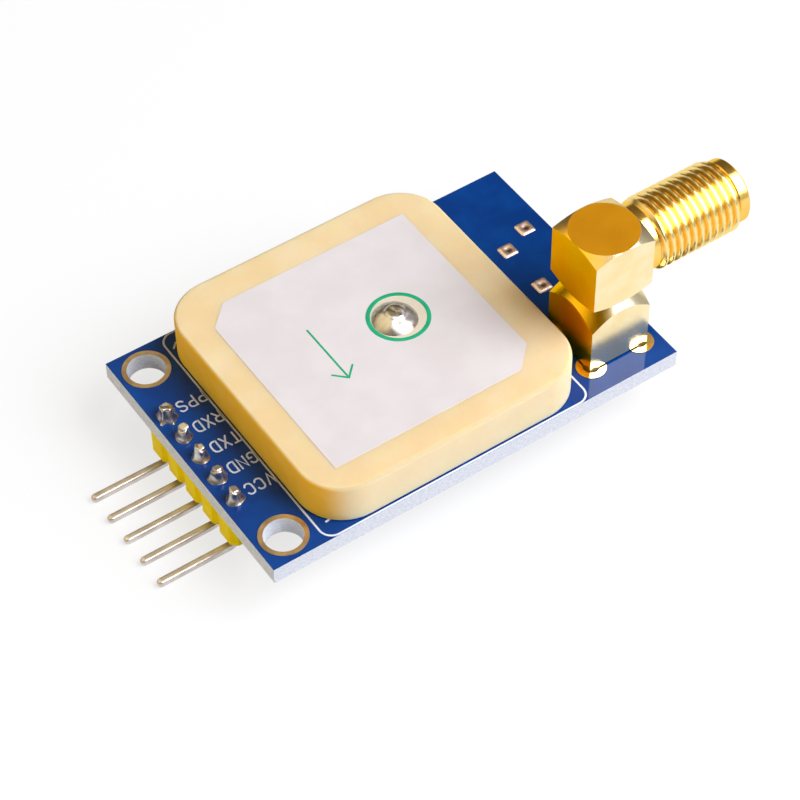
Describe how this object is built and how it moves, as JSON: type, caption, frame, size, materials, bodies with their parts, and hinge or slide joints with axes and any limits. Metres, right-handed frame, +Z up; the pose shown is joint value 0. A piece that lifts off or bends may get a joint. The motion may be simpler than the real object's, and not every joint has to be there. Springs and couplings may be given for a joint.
{
  "type": "gps module",
  "caption": "Satellite receiver board with a ceramic patch antenna, a right-angle coaxial socket, a bent pin header and mounting holes.",
  "frame": {"origin": "midway between the two mounting holes, on the underside of the board", "axes": "+X from the header edge to the coaxial socket, +Y across the board, +Z up, out of the antenna's face"},
  "size_m": [0.0532, 0.0253, 0.0183],
  "materials": {
    "board_mask": "glossy blue solder mask",
    "ring_copper": "bare copper",
    "tin": "tinned",
    "ceramic": "fired, unglazed",
    "silver": "fired silver, matt",
    "tape": "adhesive film",
    "feed_metal": "tinned",
    "solder": "bright solder",
    "header_plastic": "moulded, satin",
    "pin_metal": "tinned",
    "gold": "gold plated, polished",
    "insulator": "white insulator",
    "receiver_mask": "green solder mask",
    "shield": "tinned steel sheet",
    "cell_steel": "bright steel",
    "chip_black": "moulded epoxy",
    "capacitor_body": "fired ceramic",
    "resistor_body": "glazed film on ceramic",
    "lamp_base": "laminate",
    "lamp_lens": "clear tinted resin"
  },
  "bodies": {
    "root": {"circuit_board": "board_mask", "hole_rings": "ring_copper", "test_pads": "tin", "antenna_ceramic": "ceramic", "antenna_electrode": "silver", "antenna_ground": "silver", "antenna_tape": "tape", "feed_pin": "feed_metal", "feed_dome": "solder", "feed_joint": "solder", "header_block": "header_plastic", "header_pin_1": "pin_metal", "header_pin_2": "pin_metal", "header_pin_3": "pin_metal", "header_pin_4": "pin_metal", "header_pin_5": "pin_metal", "header_joints": "solder", "socket_block": "gold", "socket_barrel": "gold", "socket_insulator": "insulator", "socket_contact": "gold", "socket_tail": "gold", "socket_bead": "insulator", "socket_pads": "gold", "socket_joints": "solder", "receiver_board": "receiver_mask", "receiver_shield": "shield", "receiver_joints": "solder", "backup_cell": "cell_steel", "cell_tabs": "shield", "memory_body": "chip_black", "memory_leads": "tin", "regulator_body": "chip_black", "regulator_leads": "tin", "diode_body": "chip_black", "diode_leads": "tin", "capacitors": "capacitor_body", "resistors": "resistor_body", "chip_ends": "tin", "lamp_base": "lamp_base", "lamp_lens": "lamp_lens"}
  },
  "joints": []
}
